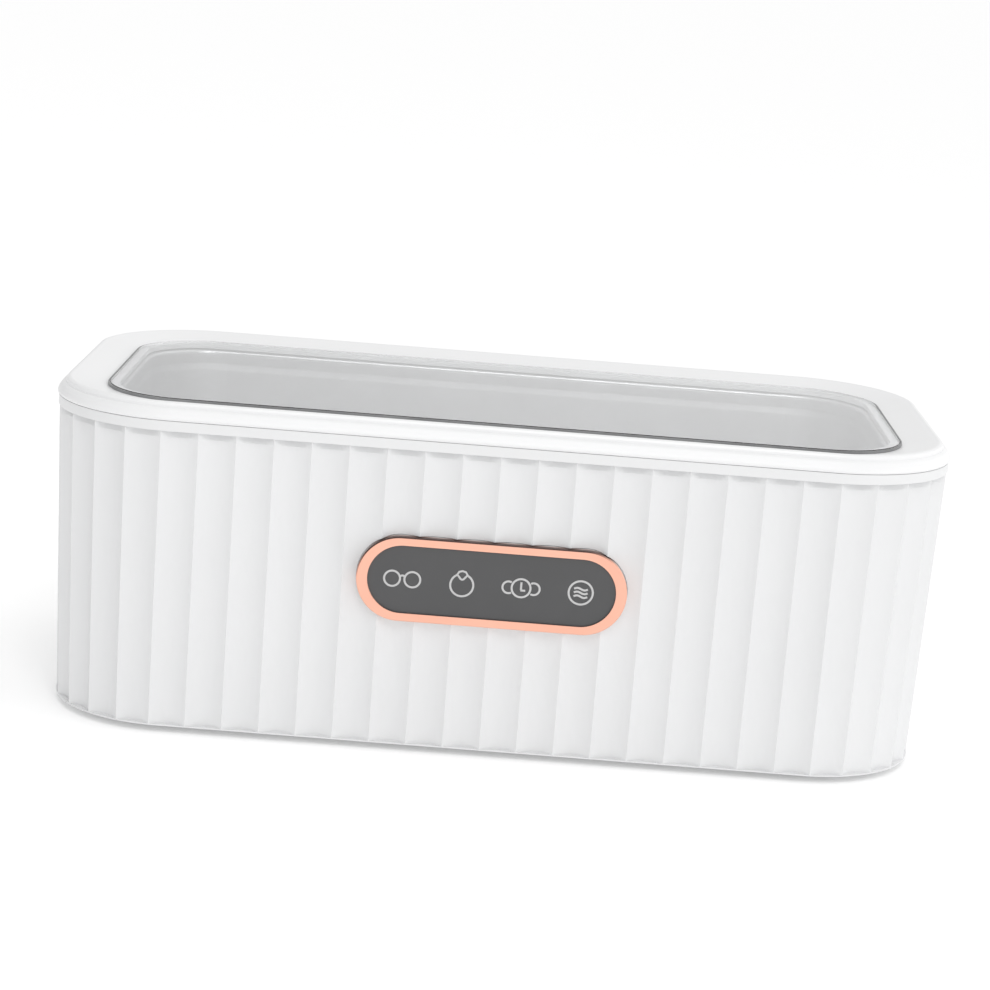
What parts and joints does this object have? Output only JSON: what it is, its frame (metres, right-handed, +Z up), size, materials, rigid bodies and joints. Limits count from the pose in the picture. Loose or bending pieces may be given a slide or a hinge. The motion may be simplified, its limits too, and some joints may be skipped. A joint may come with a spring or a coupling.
{
  "type": "ultrasonic cleaner",
  "caption": "Tabletop ultrasonic cleaner with a fluted rounded-rectangle housing, a stainless tank, a touch panel in a pill-shaped bezel and a lift-off lid with a clear window.",
  "frame": {"origin": "on the table surface under the middle of the cleaner", "axes": "+Z up, front with the touch panel faces -Y, +X along the long side to the viewer's right"},
  "size_m": [0.2, 0.1024, 0.0741],
  "materials": {
    "housing_white": "fine satin moulded ABS",
    "rim_white": "fine satin moulded ABS",
    "lid_white": "satin-gloss moulded ABS",
    "base_plastic": "matt moulded ABS",
    "foot_rubber": "soft rubber",
    "gasket_silicone": "translucent silicone",
    "seal_silicone": "translucent silicone",
    "tank_steel": "drawn and brushed stainless steel",
    "window_clear": "clear polycarbonate",
    "gasket_grey": "grey silicone",
    "bezel_rose": "rose-gold anodised, satin",
    "panel_dark": "smoked acrylic",
    "mask_black": "black moulded plastic",
    "pad_foam": "conductive foam",
    "board_green": "solder mask",
    "board_green2": "solder mask",
    "led_body": "clear epoxy",
    "chip_black": "moulded epoxy",
    "chip_black2": "moulded epoxy",
    "transistor_black": "moulded epoxy",
    "spacer_nylon": "nylon",
    "screw_steel": "zinc plated",
    "screw_steel2": "zinc plated",
    "screw_steel3": "zinc plated",
    "piezo_ceramic": "fired PZT ceramic",
    "silver_film": "silvered electrode",
    "bond_epoxy": "cured epoxy",
    "ferrite": "sintered ferrite",
    "winding": "taped copper winding",
    "cap_sleeve": "shrink sleeve",
    "choke_core": "coated toroid",
    "heatsink_al": "extruded aluminium",
    "header_nylon": "nylon",
    "inlet_black": "moulded nylon",
    "pin_metal": "nickel-plated brass",
    "nut_metal": "nickel-plated brass",
    "lead_black": "PVC insulation",
    "lead_red": "silicone insulation",
    "ribbon_grey": "flat cable"
  },
  "bodies": {
    "base": {"outer_housing": "housing_white", "top_rim": "rim_white", "base_plate": "base_plastic", "rubber_feet": "foot_rubber", "tank_gasket": "gasket_silicone", "tank": "tank_steel", "panel_bezel": "bezel_rose", "touch_panel": "panel_dark", "light_mask": "mask_black", "touch_pads": "pad_foam", "touch_pcb": "board_green", "driver_pcb": "board_green2", "panel_leds": "led_body", "touch_chip": "chip_black", "controller_chip": "chip_black2", "power_transistors": "transistor_black", "panel_spacers": "spacer_nylon", "panel_screws": "screw_steel", "base_screws": "screw_steel2", "pcb_screws": "screw_steel3", "piezo_disc": "piezo_ceramic", "piezo_electrode": "silver_film", "transducer_bond": "bond_epoxy", "transformer_core": "ferrite", "transformer_winding": "winding", "capacitors": "cap_sleeve", "choke": "choke_core", "heatsink": "heatsink_al", "connectors": "header_nylon", "power_inlet": "inlet_black", "inlet_pin": "pin_metal", "inlet_nut": "nut_metal", "power_leads": "lead_black", "transducer_leads": "lead_red", "panel_ribbon": "ribbon_grey"},
    "lid": {"lid_frame": "lid_white", "lid_window": "window_clear", "lid_seal": "seal_silicone", "window_gasket": "gasket_grey"}
  },
  "joints": [
    {"name": "lid_lift", "type": "slide", "parent": "base", "child": "lid", "axis": [0, 0, 1], "range_m": [0, 0.12]}
  ]
}
